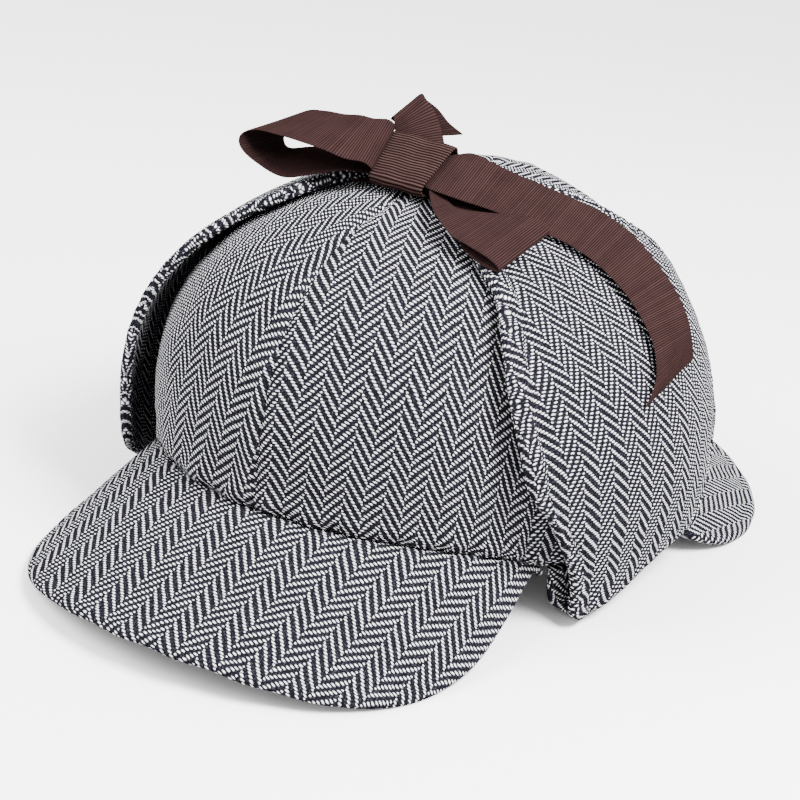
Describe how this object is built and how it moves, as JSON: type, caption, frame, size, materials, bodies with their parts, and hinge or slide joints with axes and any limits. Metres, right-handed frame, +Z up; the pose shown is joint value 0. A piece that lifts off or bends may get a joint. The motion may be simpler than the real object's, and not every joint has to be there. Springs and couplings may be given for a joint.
{
  "type": "deerstalker hat",
  "caption": "Wool herringbone deerstalker hat with a front and a rear peak, its ear flaps folded up and tied over the gored crown with a grosgrain ribbon bow.",
  "frame": {"origin": "middle of the bounding box's bottom, on the surface the hat rests on", "axes": "+Z up, the front peak points to -Y and the wearer's left is +X"},
  "size_m": [0.2126, 0.3176, 0.1529],
  "materials": {
    "wool_herringbone": "black and off-white wool herringbone, matt with a light nap",
    "grosgrain_ribbon": "dark brown ribbed grosgrain, soft sheen"
  },
  "bodies": {
    "root": {"gore_front_left": "wool_herringbone", "gore_side_left": "wool_herringbone", "gore_back_left": "wool_herringbone", "gore_back_right": "wool_herringbone", "gore_side_right": "wool_herringbone", "gore_front_right": "wool_herringbone", "front_peak": "wool_herringbone", "rear_peak": "wool_herringbone", "ear_flap_left": "wool_herringbone", "ear_flap_right": "wool_herringbone", "bow_knot": "grosgrain_ribbon", "bow_loop_right": "grosgrain_ribbon", "bow_loop_left": "grosgrain_ribbon", "bow_tail_long": "grosgrain_ribbon", "bow_tail_short": "grosgrain_ribbon", "tie_left": "grosgrain_ribbon", "tie_right": "grosgrain_ribbon"}
  },
  "joints": []
}
